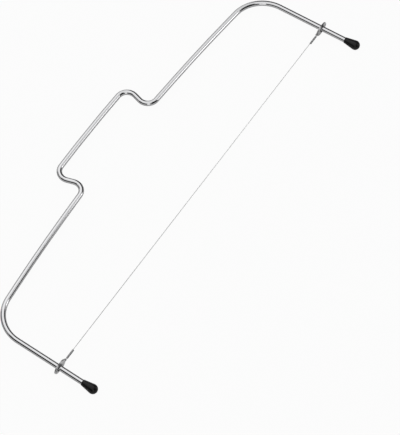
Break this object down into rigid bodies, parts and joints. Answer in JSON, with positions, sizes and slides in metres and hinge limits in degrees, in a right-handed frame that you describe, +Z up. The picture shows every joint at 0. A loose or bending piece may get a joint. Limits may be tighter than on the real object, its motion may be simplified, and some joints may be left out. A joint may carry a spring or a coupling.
{
  "type": "cake leveler",
  "caption": "Hand tool for slicing cakes level: a bent rod frame with a raised handle, rubber feet, and a taut cutting wire on plate clips that slide along the legs.",
  "frame": {"origin": "on the surface that the leveler lies on, below the middle of its bounding box", "axes": "+X along the cutting wire, +Y from the feet to the handle, +Z up from the surface, square to the flat frame"},
  "size_m": [0.356, 0.1292, 0.0092],
  "materials": {
    "plated_rod": "bright nickel or chrome plating, polished",
    "rubber_foot": "moulded black rubber, soft sheen",
    "clip_plate": "stamped sheet steel, dull grey",
    "crimp_sleeve": "crimped metal tube, darker grey",
    "cutting_wire": "drawn stainless steel wire"
  },
  "bodies": {
    "frame": {"frame_rod": "plated_rod", "foot_left": "rubber_foot", "foot_right": "rubber_foot"},
    "cutter": {"cutting_wire": "cutting_wire", "sleeve_left": "crimp_sleeve", "sleeve_right": "crimp_sleeve", "clip_left": "clip_plate", "clip_right": "clip_plate"}
  },
  "joints": [
    {"name": "wire_height", "type": "slide", "parent": "frame", "child": "cutter", "axis": [0, 1, 0], "range_m": [-0.0192, 0.0356]}
  ]
}
